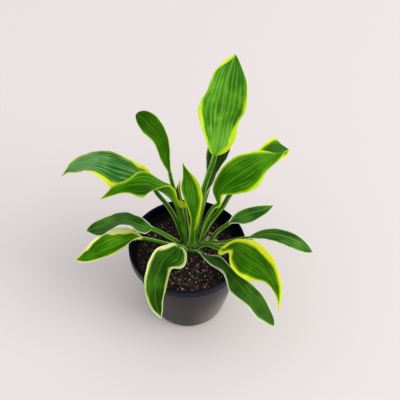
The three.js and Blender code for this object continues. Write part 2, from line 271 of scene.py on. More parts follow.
def layered_noise(places: np.ndarray, size: float, layers: int, seed: int) -> np.ndarray:
    """Sum of value noise, each layer half as large and half as strong as the last.

    Args:
        places: points, three numbers each.
        size: cell length of the first layer.
        layers: how many layers.
        seed: picks another pattern.

    Returns:
        One value for each point, roughly from -1 to 1.
    """
    return sum(value_noise(places, size / 2 ** k, seed + k) / 2 ** k for k in range(layers)) / 1.5


def ease(part: np.ndarray, values: tuple[float, ...]) -> np.ndarray:
    """Run smoothly through values at even steps of part, by uniform Catmull-Rom pieces.

    Args:
        part: shares from 0 to 1.
        values: the values to pass through.

    Returns:
        One value for each share.
    """
    row = np.array([2 * values[0] - values[1], *values, 2 * values[-1] - values[-2]], float)
    steps = len(values) - 1
    i = np.minimum((part * steps).astype(int), steps - 1)
    f = part * steps - i
    before, start, end, after = row[i], row[i + 1], row[i + 2], row[i + 3]
    bend = 2 * before - 5 * start + 4 * end - after
    return start + 0.5 * f * ((end - before) + f * (bend + f * (3 * (start - end) + after - before)))


def through(part: np.ndarray, values: tuple[float, float, float]) -> np.ndarray:
    """Join three values at 0, 1/2 and 1 by one parabola.

    Args:
        part: shares from 0 to 1.
        values: the three values.

    Returns:
        One value for each share.
    """
    a, b, c = values
    return a * (1 - part) * (1 - 2 * part) + 4 * b * part * (1 - part) + c * part * (2 * part - 1)


def midrib(stations: tuple, shares: np.ndarray) -> tuple[np.ndarray, np.ndarray, float]:
    """Follow a centripetal Catmull-Rom curve through stations, at shares of its arc length.

    Each piece is the cubic whose end slopes come from its neighbours, with knots spaced by the square
    root of the distance between stations. Arc length is summed over short chords. A tangent joins the
    places a little before and after.

    Args:
        stations: places on the curve, in millimetres.
        shares: shares of the whole length, from 0 to 1.

    Returns:
        Places, unit tangents and the whole length.
    """
    chords = 60
    reach = 0.004
    p = np.array(stations, float)
    p = np.vstack([2 * p[0] - p[1], p, 2 * p[-1] - p[-2]])
    d = np.sqrt(np.linalg.norm(np.diff(p, axis=0), axis=1))[:, None]
    p0, p1, p2, p3 = p[:-3], p[1:-2], p[2:-1], p[3:]
    d0, d1, d2 = d[:-2], d[1:-1], d[2:]
    m1 = ((p1 - p0) / d0 - (p2 - p0) / (d0 + d1) + (p2 - p1) / d1) * d1
    m2 = ((p2 - p1) / d1 - (p3 - p1) / (d1 + d2) + (p3 - p2) / d2) * d1
    t = np.linspace(0, 1, chords, endpoint=False)[None, :, None]
    bow = -3 * p1 + 3 * p2 - 2 * m1 - m2
    turn = 2 * p1 - 2 * p2 + m1 + m2
    fine = p1[:, None] + m1[:, None] * t + bow[:, None] * t ** 2 + turn[:, None] * t ** 3
    fine = np.vstack([fine.reshape(-1, 3), p[-2]])
    run = np.concatenate([[0], np.cumsum(np.linalg.norm(np.diff(fine, axis=0), axis=1))])

    def at(share: np.ndarray) -> np.ndarray:
        """Places at shares of the length."""
        return np.stack([np.interp(share * run[-1], run, fine[:, k]) for k in range(3)], axis=1)

    tangent = at(np.clip(shares + reach, 0, 1)) - at(np.clip(shares - reach, 0, 1))
    return at(shares), tangent / np.linalg.norm(tangent, axis=1, keepdims=True), float(run[-1])


class Margin(Enum):
    """Colours of a leaf's variegated margin: at its edge, and where it runs into the green."""

    LIME = ("#b4d81c", "#7aad10")
    YELLOW = ("#d8e628", "#9abc0e")
    CREAM = ("#e6f19a", "#a6c45c")
    WHITE = ("#f1f6d6", "#a9c48a")
    # Painted light: paler than the cream, for a margin in the shade of the leaf above, as if lit through.
    LIT_LEMON = ("#ffffa4", "#dcec6a")


class Green(Enum):
    """Greens of a leaf's centre: deep, usual and light.

    The deep green is painted shade in the furrows over the veins, and the light green a painted
    highlight on the ridges between them. Random streaks and patches also move the tone.
    """

    FRESH = ("#266600", "#549a12", "#86bc48")
    BLUISH = ("#164c0c", "#2c6e18", "#68a054")
    LUSH = ("#1a4e00", "#2d6c00", "#569816")
    MID = ("#184600", "#286000", "#468414")
    DEEP = ("#143c00", "#285c08", "#5c9232")
    # Partly painted shade: the darkest green, for leaves that lie under others.
    DUSKY = ("#0a2c00", "#164202", "#407218")


@dataclass(frozen=True)
class HostaTissue:
    """Living hosta leaf, grown with a thin coat of wax. Sizes are in millimetres.

    To the eye it is satin on top, with soft greenish highlights, and duller and paler below. Its veins
    show as streaks, with painted shade in the furrows over them and painted highlight on the ridges
    between. Its margin holds little pigment, so light from behind glows through it. The pebbles of
    the real skin are finer than a pixel, so they are drawn about 1 mm wide.
    """

    green: Green
    margin: Margin
    gloss: float = 0.42
    sheen: str = "#a8c860"
    streaks: float = 0.6
    border: float = 1.6
    patch: float = 35.7
    pebble: float = 1.11

    def material(self, name: str) -> bpy.types.Material:
        """Build the leaf's material from the numbers that its mesh carries.

        Args:
            name: the leaf's name.

        Returns:
            The material.
        """
        surface = Surface(f"hosta tissue, waxed, {name}")
        add, share, cover = surface.add, surface.share, surface.cover
        part, along, vein_run, edge, border, reach, ridge_highlight, rib, upper = (
            add("Attribute", {}, "Fac", attribute_name=key)
            for key in ("part", "along", "vein_run", "edge", "border", "reach", "ridge_highlight", "rib", "upper"))

        # Streaks run with the veins: they change fast across the blade and slowly along it.
        grain = add("CombineXYZ", [along, vein_run])
        streak = add("TexNoise", {"Vector": grain, "Scale": 1.0, "Detail": 1.3, "Roughness": 0.6})
        place = add("TexCoord", {}, "Object")
        patch, pebbles = (add("TexNoise", {"Vector": place, "Scale": 1 / (size * MM), "Detail": 2.0})
                          for size in (self.patch, self.pebble))

        # Painted highlight and shade: the ridges between the veins are painted lighter, and the furrows
        # over the veins deeper. Stronger streaks start from a lower tone.
        deep, usual, light = self.green.value
        lower = 0.2 * self.streaks
        tone = share((patch, 0.32, 0.68, -0.08 - lower, 0.32 - lower))
        tone = add("Math", [streak, 1.12 * self.streaks, tone], operation="MULTIPLY_ADD")
        tone = add("Math", [ridge_highlight, 0.4 * self.streaks, tone], operation="MULTIPLY_ADD")
        colour = add("ValToRGB", [tone], stops=((0.16, deep), (0.42, usual), (0.85, light)))
        colour = cover(colour, light, (rib, 0.25, 0.9, 0.0, 0.45))
        colour = cover(colour, "#587a28", (upper, 1.0, 0.0, 0.0, 0.35))

        # The margin's inner border wanders with the streaks, as flames of colour between the veins.
        wander = add("Math", [streak, 3.4, -1.7], operation="MULTIPLY_ADD")
        border = add("Math", [wander, reach, border], operation="MULTIPLY_ADD")
        pale, warm = self.margin.value
        margin = cover(warm, pale, (border, -0.6, -2.2))
        margin = cover(margin, warm, (streak, 0.35, 0.65, 0.0, 0.25))
        margin = cover(margin, pale, (edge, 0.7, 0.2, 0.0, 0.8))
        colour = cover(colour, warm, (border, self.border, 0.0, 0.0, 0.45))
        colour = cover(colour, margin, (border, 0.35, -0.35))
        glow = share((border, 0.35, -0.35, 0.12, 0.9))

        # The stalk is streaked lengthwise, with a broken pale line along each edge.
        stalk = add("ValToRGB", [streak], stops=((0.3, "#225204"), (0.5, "#3b780a"), (0.75, "#629424")))
        stalk = cover(stalk, "#b0cc70", (edge, 0.6, 0.15, 0.0, 0.7), (patch, 0.38, 0.6, 0.25, 1.0))
        colour = cover(colour, stalk, (part, 0.06, -0.04))

        # The underside and the paler patches are rougher. Fine ribs and pebbles break up the highlights.
        rough = add("Math", [upper, -0.2, self.gloss + 0.16], operation="MULTIPLY_ADD")
        rough = add("Math", [patch, 0.16, rough], operation="MULTIPLY_ADD")
        relief = add("Math", [pebbles, 0.3, streak], operation="MULTIPLY_ADD")
        bump = add("Bump", {"Strength": 0.18, "Distance": 0.6 * MM, "Height": relief})
        return surface.close({
            "Base Color": colour, "Roughness": rough, "Normal": bump, "IOR": 1.42,
            "Specular IOR Level": 0.3, "Specular Tint": self.sheen, "Subsurface Weight": glow,
            "Subsurface Radius": (1.0, 1.0, 0.6), "Subsurface Scale": 4 * MM})


@dataclass
class Pot:
    """Round tapered nursery pot with a rolled lip, in one moulding. Lengths in millimetres."""

    height: float = 122
    rim_radius: float = 75
    base_radius: float = 48
    body_top_radius: float = 70.5
    body_swell: float = 0.85
    corner_radius: float = 5
    wall: float = 1.6
    floor: float = 2.4
    lip_depth: float = 13
    lip_crest: float = 1.8
    sides: int = 192
    drains: int = 6
    drain_radius: float = 4
    drain_ring: float = 31
    drain_sides: int = 40

    def lip_base(self) -> float:
        """Height of the lip's lower edge."""
        return self.height - self.lip_depth

    def radius(self, z: np.ndarray | float) -> np.ndarray:
        """Outside radius at height z: a cone raised to the swell, less a round lower corner."""
        z = np.asarray(z, float)
        taper = (z / self.lip_base()) ** self.body_swell
        wall = self.base_radius + (self.body_top_radius - self.base_radius) * taper
        lift = np.clip(1 - z / self.corner_radius, 0, 1)
        return wall - self.corner_radius * (1 - np.sqrt(1 - lift ** 2))

    def profile(self) -> np.ndarray:
        """Trace the moulding's section from the middle of the underside round to the middle of the floor.

        The underside is flat and turns up by a quarter arc. The wall follows the radius to the lip, where
        a 1 mm fillet leads out to a band with a slightly drawn-in top. The crest is most of a half circle,
        a shelf leads down from it inside, and the inner wall keeps the wall's thickness to the floor.

        Returns:
            Radius and height, row by row.
        """
        top, rim, neck = self.lip_base(), self.rim_radius, self.body_top_radius
        bottom = np.array([[0, 0], [12, 0], [26, 0], [36, 0]], float)
        low = self.corner_radius * (1 - np.cos(np.linspace(0, np.pi / 2, 9)))
        outside = np.concatenate([low, np.linspace(self.corner_radius, top - 1.2, 26)[1:]])
        wall = np.stack([self.radius(outside), outside], axis=1)
        fillet = np.array([[neck + 0.25, top - 0.5], [neck + 1.0, top - 0.1], [neck + 2.6, top],
                           [rim - 0.7, top + 0.1], [rim - 0.15, top + 0.7]])
        band = np.array([[rim, top + 1.6], [rim, top + 4], [rim - 0.1, self.height - 3.2]])
        turn = np.linspace(0.15, np.pi - 0.5, 11)
        crest = np.stack([rim - self.lip_crest + (self.lip_crest - 0.05) * np.cos(turn),
                          self.height - self.lip_crest + self.lip_crest * np.sin(turn)], axis=1)
        shelf = np.array([[neck + 0.3, self.height - 2.2], [neck - 0.6, self.height - 5.5],
                          [neck - 1.2, top - 0.5]])
        down = np.linspace(top - 4, self.floor + 3, 22)
        inside = np.stack([self.radius(down) - self.wall, down], axis=1)
        corner = float(self.radius(self.floor + 0.5)) - self.wall
        last = np.array([[corner - 0.9, self.floor + 0.7], [corner - 2, self.floor], [26, self.floor],
                         [12, self.floor], [0, self.floor]])
        return np.concatenate([bottom, wall, fillet, band, crest, shelf, inside, last])

    def build(self) -> bpy.types.Object:
        """Turn the section about the axis, close both poles and cut the drain holes.

        Returns:
            The pot's object.
        """
        thing = turned("pot_moulding", self.profile(), self.sides)
        angle = circle(self.drains)
        centres = np.stack([np.cos(angle), np.sin(angle)], axis=1) * self.drain_ring
        low, high = -3, 6
        ring = np.array([[0, low], [self.drain_radius, low], [self.drain_radius, high], [0, high]], float)
        for number, (x, y) in enumerate(centres):
            punch = turned(f"punch_{number}", ring, self.drain_sides, (x, y))
            cut = thing.modifiers.new("drain", "BOOLEAN")
            cut.object = punch
            cut.operation = "DIFFERENCE"
            cut.solver = "EXACT"
            bake_modifiers(thing)
            bpy.data.objects.remove(punch)
        dress(thing, Polypropylene().material(self), "pot")
        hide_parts("pot")
        return thing


@dataclass(frozen=True)
class Polypropylene:
    """Injection moulded polypropylene, dyed black. Lengths in millimetres.

    To the eye the wall is satin, with broad soft highlights, and the lip is glossier. The lip is
    painted blue-black, darker than the wall, as painted shade. A pale film greys the wall, more so
    towards the floor and on the right: partly dry dust, and partly painted light on the side that the
    lamps face. The skin has the faint orange peel of a moulding, drawn coarse enough to show.
    """

    colour: str = "#1d1b1b"
    # Partly dust and partly painted light: the pale film on the wall.
    dust_and_painted_light: str = "#a29d99"
    # Painted shade: the lip is painted darker and bluer than the wall.
    lip: str = "#040816"
    # Painted shade: the inside wall above the soil.
    inside: str = "#1a1716"
    peel: float = 1.43
    cloud: float = 26.3

    def material(self, pot: Pot) -> bpy.types.Material:
        """Build the pot's material.

        The inside is told from the outside by distance from the axis: it lies within the straight line
        that the middle of the wall's thickness follows from a height within the soil to the lip.

        Args:
            pot: the pot, which gives the heights and radii at which the finish changes.

        Returns:
            The material.
        """
        surface = Surface("polypropylene, moulded, black")
        add, share, cover = surface.add, surface.share, surface.cover
        place = add("TexCoord", {}, "Object")
        across, height = (add("SeparateXYZ", [place], axis) for axis in "XZ")
        peel = add("TexNoise", {"Vector": place, "Scale": 1 / (self.peel * MM), "Detail": 2.0})
        cloud = add("TexNoise", {"Vector": place, "Scale": 1 / (self.cloud * MM), "Detail": 5.0,
                                 "Roughness": 0.65})

        # The pale film grows towards the floor and the right, in soft clouds: partly dust, and partly
        # painted light on the right, the side that the lamps face. It fades out just above the very foot.
        colour = cover(self.colour, self.dust_and_painted_light, (height, 105 * MM, 0.0), (cloud, 0.3, 0.7, 0.45, 0.75),
                       (across, -5 * MM, 60 * MM, 0.08, 1.0), (height, 1.5 * MM, 4 * MM))

        # Painted shade: inside, above the soil, the wall is kept dark, without the pale film.
        top, in_soil = pot.lip_base(), 75.0
        low_radius, top_radius = (float(pot.radius(z)) - pot.wall / 2 for z in (in_soil, top))
        slope = (top_radius - low_radius) / (top - in_soil)
        middle = add("Math", [height, slope, (top_radius - slope * top) * MM], operation="MULTIPLY_ADD")
        level = add("VectorMath", [place, (1, 1, 0)], operation="MULTIPLY")
        away = add("VectorMath", [level], "Value", operation="LENGTH")
        inward = add("Math", [middle, away], operation="SUBTRACT")
        colour = cover(colour, self.inside, (inward, 0.0, 0.1 * MM),
                       (height, (in_soil - 5) * MM, (in_soil + 5) * MM))
        # Painted shade: the lip is painted blue-black.
        lip = (height, (top - 1) * MM, (top + 1) * MM)
        colour = cover(colour, self.lip, lip)
        rough = share((cloud, 0.3, 0.7, 0.3, 0.42))
        rough = add("Math", [share(lip), -0.13, rough], operation="MULTIPLY_ADD")
        bump = add("Bump", {"Strength": 0.1, "Distance": 0.2 * MM, "Height": peel})
        return surface.close({"Base Color": colour, "Roughness": rough, "Normal": bump, "IOR": 1.49,
                              "Specular IOR Level": 0.12})


@dataclass(frozen=True)
class Crumble:
    """Loose matter such as peat, bark, perlite or old leaf. Sizes are in millimetres.

    To the eye it is matt and uneven: each grain has its own shade, and its surface is pitted.
    """

    name: str
    colours: tuple[str, str, str]
    grain: float
    rough: float = 0.9
    relief: float = 0.4

    def material(self) -> bpy.types.Material:
        """Build the material: its colours spread by a noise of the grain's size and by each grain's shade.

        Returns:
            The material.
        """
        surface = Surface(self.name)
        add = surface.add
        place = add("TexCoord", {}, "Object")
        fine, wide = (
            add("TexNoise", {"Vector": place, "Scale": 1 / (size * MM), "Detail": detail,
                             "Roughness": rough})
            for size, detail, rough in ((self.grain, 4.0, 0.65), (12 * self.grain, 2.0, 0.5)))
        shade = add("Attribute", {}, "Fac", attribute_name="shade")
        tone = surface.share((fine, 0.3, 0.7, 0.0, 0.55))
        tone = add("Math", [wide, 0.5, tone], operation="MULTIPLY_ADD")
        tone = add("Math", [tone, shade], operation="ADD")
        colour = add("ValToRGB", [tone], stops=tuple(zip((0.2, 0.5, 0.85), self.colours)))
        bump = add("Bump", {"Strength": 0.8, "Distance": self.relief * MM, "Height": fine})
        return surface.close({"Base Color": colour, "Roughness": self.rough, "Normal": bump, "IOR": 1.4,
                              "Specular IOR Level": 0.35})


# Moist peat is nearly black and swallows the light. Only its high crumbs turn brown.
PEAT = Crumble("peat and bark, moist", ("#0a0706", "#1e1512", "#3f2f28"), 1.6)
PEAT_CRUMBS = Crumble("peat crumbs, moist", ("#0f0a08", "#2c201a", "#5a463c"), 1.2)
# Weathered pine bark lies as flat reddish flakes, and its dry fines are pinkish and paler.
BARK = Crumble("pine bark, weathered", ("#23150f", "#4c342c", "#80635a"), 2.0, 0.8)
BARK_FINES = Crumble("pine bark fines, dry", ("#2a1a14", "#5c4036", "#a88c7e"), 1.5, 0.85)
# Expanded perlite is a foam of white glass, so it stands out as small bright specks.
PERLITE = Crumble("perlite, expanded", ("#a8a49c", "#d6d3cc", "#f1efe9"), 1.0, 0.75)
# Dried leaf litter is thin and papery, in straw colours.
LITTER = Crumble("hosta leaf litter, dried", ("#6b5a36", "#a08e62", "#cfc098"), 2.5, 0.7)
# The living crown is fibrous and damp: smoother than soil, with a faint shine.
CROWN_FIBRE = Crumble("hosta crown, fibrous", ("#205004", "#387408", "#648f20"), 2.4, 0.6, 0.3)


def bake_modifiers(thing: bpy.types.Object) -> None:
    """Make a piece's modifiers part of its mesh.

    Args:
        thing: the piece.
    """
    bpy.context.view_layer.update()
    ready = bpy.data.meshes.new_from_object(thing.evaluated_get(bpy.context.evaluated_depsgraph_get()))
    old = thing.data
    thing.modifiers.clear()
    thing.data = ready
    bpy.data.meshes.remove(old)


def turned(name: str, profile: np.ndarray, sides: int,
           middle: tuple[float, float] = (0, 0)) -> bpy.types.Object:
    """Turn a section that starts and ends on the axis into a closed solid.

    Each row of the section becomes a ring: x = r cos a, y = r sin a. The two ends are single points.

    Args:
        name: the object's name.
        profile: radius and height in millimetres, row by row, with radius 0 at both ends.
        sides: points on each ring.
        middle: where the axis stands, in millimetres.

    Returns:
        The solid, smooth shaded.
    """
    angle = circle(sides)
    rings = profile[1:-1]
    places = np.stack([
        middle[0] + rings[:, :1] * np.cos(angle), middle[1] + rings[:, :1] * np.sin(angle),
        np.repeat(rings[:, 1:], sides, axis=1)], axis=-1).reshape(-1, 3)
    ends = np.array([[*middle, profile[0, 1]], [*middle, profile[-1, 1]]])
    points = np.concatenate([places, ends]) * MM
    return fill_mesh(name, points, closed_skin(len(rings), sides)[:, ::-1])


@dataclass
class Soil:
    """Potting mix: peat and bark that fill the pot, with loose grains on top. Lengths in millimetres."""

    pot: Pot
    fill_height: float = 100
    mound_height: float = 6.5
    mound_spread: float = 30
    ripple: float = 1.1
    gap: float = 0.3
    crown: tuple[float, float] = (4, 13)
    lump: float = 6.0
    grit: float = 2.2
    crumb_height: float = 0.9
    crumb_sink: float = 0.6
    loose_reach: float = 62.0
    sides: int = 260
    rings: int = 74

    def height(self, x: np.ndarray, y: np.ndarray) -> np.ndarray:
        """Smooth height of the surface: level, with a bell-shaped mound and shallow hollows."""
        away = np.hypot(x - self.crown[0], y - self.crown[1])
        mound = self.mound_height * np.exp(-(away / self.mound_spread) ** 2)
        hollows = np.sin(x / 9) * np.cos(y / 7) + 0.6 * np.sin((x + y) / 5)
        return self.fill_height + mound + self.ripple * hollows

    def crumbly(self, x: np.ndarray, y: np.ndarray) -> np.ndarray:
        """Height with crumbs: the smooth height plus two sizes of layered noise, the coarse one ridged."""
        flat = np.stack([x, y, 0 * x], axis=-1)
        lumps = 1 - 2 * np.abs(layered_noise(flat, self.lump, 3, 11))
        grit = layered_noise(flat, self.grit, 3, 23)
        return self.height(x, y) + self.crumb_height * (lumps + grit) - self.crumb_sink

    def inner(self, z: np.ndarray | float) -> np.ndarray:
        """Radius of the soil at height z: a small gap inside the pot's wall."""
        return self.pot.radius(z) - self.pot.wall - self.gap

    def build(self) -> list[bpy.types.Object]:
        """Build the body of soil and what lies loose on it.

        The body is a disc of rings with crumbs on top, then rings down the wall to the pot's floor.

        Returns:
            The soil and its loose pieces.
        """
        angle = circle(self.sides)
        at_wall = float(self.inner(self.fill_height - 2 * self.ripple))
        radii = at_wall * np.linspace(0, 1, self.rings + 1)[1:] ** 0.9
        x, y = radii[:, None] * np.cos(angle), radii[:, None] * np.sin(angle)
        top = np.stack([x, y, self.crumbly(x, y)], axis=-1)
        down = np.array([self.fill_height / 2, self.pot.corner_radius, self.pot.floor])
        low = self.inner(down)[:, None]
        down[-1] += self.gap
        walls = np.stack([low * np.cos(angle), low * np.sin(angle),
                          np.repeat(down[:, None], self.sides, axis=1)], axis=-1)
        rings = np.concatenate([top, walls])
        centre_z = float(self.crumbly(np.zeros(1), np.zeros(1))[0])
        points = np.concatenate([rings.reshape(-1, 3), [[0, 0, centre_z], [0, 0, down[-1]]]]) * MM
        body = fill_mesh("soil_bed", points, closed_skin(len(rings), self.sides))
        dress(body, PEAT.material(), "soil")
        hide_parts("soil")
        return [body, *self.loose()]

    def loose(self) -> list[bpy.types.Object]:
        """Scatter crumbs, bark chips, perlite and dry litter on the surface.

        Returns:
            One object for each kind.
        """
        rim = self.loose_reach
        kinds = [
            (Scatter("soil_crumbs", 1500, (0.7, 2.6), (1, 1, 0.8), rim, 5), PEAT_CRUMBS),
            (Scatter("soil_bark", 130, (1.6, 4.2), (1.5, 0.8, 0.35), rim, 8), BARK),
            # Partly painted light: the pale fines are gathered on the front of the soil, lightening it
            # there.
            (Scatter("soil_fines", 260, (0.5, 2.1), (1.3, 0.9, 0.6), 30.0, 31, (6.0, -36.0)), BARK_FINES),
            (Scatter("soil_perlite", 190, (0.5, 1.5), (1, 1, 0.8), rim, 17), PERLITE),
            (Scatter("soil_litter", 46, (2.0, 5.5), (1.9, 0.5, 0.14), 13.0, 29, (24.0, 24.0)), LITTER),
        ]
        made = []
        for scatter, finish in kinds:
            thing = scatter.build(self)
            dress(thing, finish.material(), "soil")
            made.append(thing)
        return made


@dataclass
class Scatter:
    """Many small angular grains, fused in one mesh and half sunk in the soil. Lengths in millimetres.

    Sizes are the smallest and largest half width, and most grains are small, by the power of a draw.
    The shape stretches a grain along its three axes. The grains lie within the reach of the place that
    they are about.
    """

    name: str
    count: int
    sizes: tuple[float, float]
    shape: tuple[float, float, float]
    reach: float
    seed: int
    about: tuple[float, float] = (0.0, 0.0)
    small_power: float = 2.2
    corner_moves: tuple[float, float] = (0.68, 1.2)
    tilt: float = 0.6
    lift: float = 0.15
    shades: float = 0.35

    def build(self, soil: Soil) -> bpy.types.Object:
        """Place the grains by a seeded draw, even over a disc, and turn each by a random angle.

        A grain is an icosahedron with each corner moved in or out along its own axis, stretched to the
        kind's shape, tilted a little and turned about the vertical.

        Args:
            soil: the surface that the grains lie on.

        Returns:
            The grains' object.
        """
        draw = np.random.RandomState(self.seed)
        golden = (1 + math.sqrt(5)) / 2
        corners = np.array([[-1, golden, 0], [1, golden, 0], [-1, -golden, 0], [1, -golden, 0],
                            [0, -1, golden], [0, 1, golden], [0, -1, -golden], [0, 1, -golden],
                            [golden, 0, -1], [golden, 0, 1], [-golden, 0, -1], [-golden, 0, 1]])
        corners /= np.linalg.norm(corners[0])
        faces = np.array([[0, 11, 5], [0, 5, 1], [0, 1, 7], [0, 7, 10], [0, 10, 11], [1, 5, 9], [5, 11, 4],
                          [11, 10, 2], [10, 7, 6], [7, 1, 8], [3, 9, 4], [3, 4, 2], [3, 2, 6], [3, 6, 8],
                          [3, 8, 9], [4, 9, 5], [2, 4, 11], [6, 2, 10], [8, 6, 7], [9, 8, 1]])
        low, high = self.sizes
        size = low + (high - low) * draw.uniform(0, 1, self.count) ** self.small_power
        jitter = draw.uniform(*self.corner_moves, (self.count, len(corners), 1))
        grains = corners[None] * jitter * np.array(self.shape) * size[:, None, None]
        tilt = draw.uniform(-self.tilt, self.tilt, (self.count, 2))
        turn = draw.uniform(0, 2 * np.pi, self.count)
        grains = spun(spun(spun(grains, tilt[:, 0], 0), tilt[:, 1], 1), turn, 2)
        reach = self.reach * np.sqrt(draw.uniform(0, 1, self.count))
        angle = draw.uniform(0, 2 * np.pi, self.count)
        x = self.about[0] + reach * np.cos(angle)
        y = self.about[1] + reach * np.sin(angle)
        z = soil.crumbly(x, y) + self.lift * size * self.shape[2]
        points = (grains + np.stack([x, y, z], axis=1)[:, None]).reshape(-1, 3) * MM
        all_faces = (faces + len(corners) * np.arange(self.count)[:, None, None]).reshape(-1, 3)
        shade = np.repeat(draw.uniform(-self.shades, self.shades, self.count), len(corners))
        return fill_mesh(self.name, points, all_faces, np.ones(len(all_faces), bool), {"shade": shade})


def spun(things: np.ndarray, angle: np.ndarray, axis: int) -> np.ndarray:
    """Turn each set of points about one axis by its own angle.

    Args:
        things: sets of points, as sets by points by 3.
        angle: one angle for each set, in radians.
        axis: 0, 1 or 2 for X, Y or Z.

    Returns:
        The turned points.
    """
    first, second = (axis + 1) % 3, (axis + 2) % 3
    cosine, sine = np.cos(angle)[:, None], np.sin(angle)[:, None]
    result = things.copy()
    result[..., first] = things[..., first] * cosine - things[..., second] * sine
    result[..., second] = things[..., first] * sine + things[..., second] * cosine
    return result


@dataclass
class Crown:
    """The base that the stalks grow from: a low dome, swollen round each foot. Lengths in millimetres.

    The shares are of the rise from the base to the top: between the feet, what a foot adds, and at the
    middle.
    """

    feet: np.ndarray
    middle: tuple[float, float] = (4, 13)
    radius: float = 16.5
    base: float = 97
    top: float = 111
    foot_spread: float = 3.4
    low_share: float = 0.82
    foot_share: float = 0.16
    middle_share: float = 0.86
    grain: float = 2.5
    grain_height: float = 0.35
    rim: float = 0.4
    underside: float = 0.3
    sides: int = 160
    rings: int = 60

    def build(self) -> bpy.types.Object:
        """Build the dome. Its height is a half ellipse, raised by a bell round each foot, with fine noise.

        Returns:
            The crown's object.
        """
        angle = circle(self.sides)
        share = np.linspace(0, 1, self.rings + 1)[1:, None]
        radius = self.radius * np.sin(share * np.pi / 2)
        x = self.middle[0] + radius * np.cos(angle)
        y = self.middle[1] + radius * np.sin(angle)
        rise = self.top - self.base
        away = np.hypot(x[..., None] - self.feet[:, 0], y[..., None] - self.feet[:, 1])
        swell = np.max(np.exp(-(away / self.foot_spread) ** 2), axis=-1)
        rough = layered_noise(np.stack([x, y, 0 * x], axis=-1), self.grain, 3, 41)
        z = self.base + rise * np.cos(share * np.pi / 2) * (self.low_share + self.foot_share * swell)
        z += self.grain_height * rough * share
        z[-1] = self.base + self.rim
        ends = [[*self.middle, self.base + self.middle_share * rise],
                [*self.middle, self.base + self.underside]]
        points = np.concatenate([np.stack([x, y, z], axis=-1).reshape(-1, 3), ends]) * MM
        thing = fill_mesh("crown_dome", points, closed_skin(self.rings, self.sides))
        dress(thing, CROWN_FIBRE.material(), "crown")
        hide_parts("crown")
        return thing


